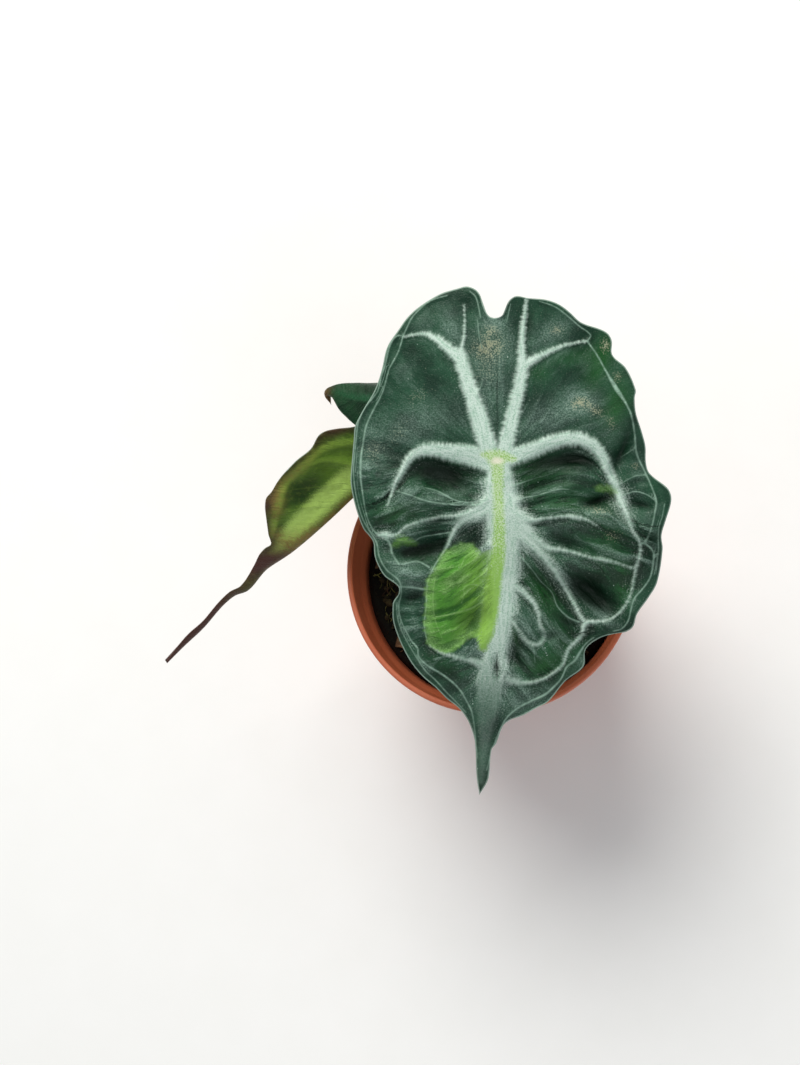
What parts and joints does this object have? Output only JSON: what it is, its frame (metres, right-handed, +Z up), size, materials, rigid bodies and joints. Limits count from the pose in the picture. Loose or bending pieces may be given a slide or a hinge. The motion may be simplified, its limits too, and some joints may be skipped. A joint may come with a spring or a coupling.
{
  "type": "potted venom aurea alocasia",
  "caption": "Young aroid house plant with waved, notched, silver-veined dark green blades on stems in a small plastic nursery pot of soil",
  "frame": {"origin": "centre of the pot's flat underside, on the surface that it stands on", "axes": "+Z up out of the pot, -Y towards the drip tip of the main blade, -X towards the long tip of the left blade"},
  "size_m": [0.1433, 0.1184, 0.1429],
  "materials": {
    "pot_plastic": "moulded terracotta-coloured polypropylene with a soft satin surface",
    "soil": "dark peat mix with bark chips, coir fibre and bits of moss",
    "stem": "smooth living stem, pale green with brown mottling",
    "blade_green": "leathery dark green leaf with silver-green veins and a lime patch, soft satin sheen",
    "blade_bronze": "olive leaf underside with a lime midrib and purple-brown drip tip"
  },
  "bodies": {
    "root": {"pot": "pot_plastic", "soil": "soil", "petiole_main": "stem", "petiole_left": "stem", "petiole_back": "stem", "blade_main": "blade_green", "blade_left": "blade_bronze", "blade_back": "blade_green"}
  },
  "joints": []
}
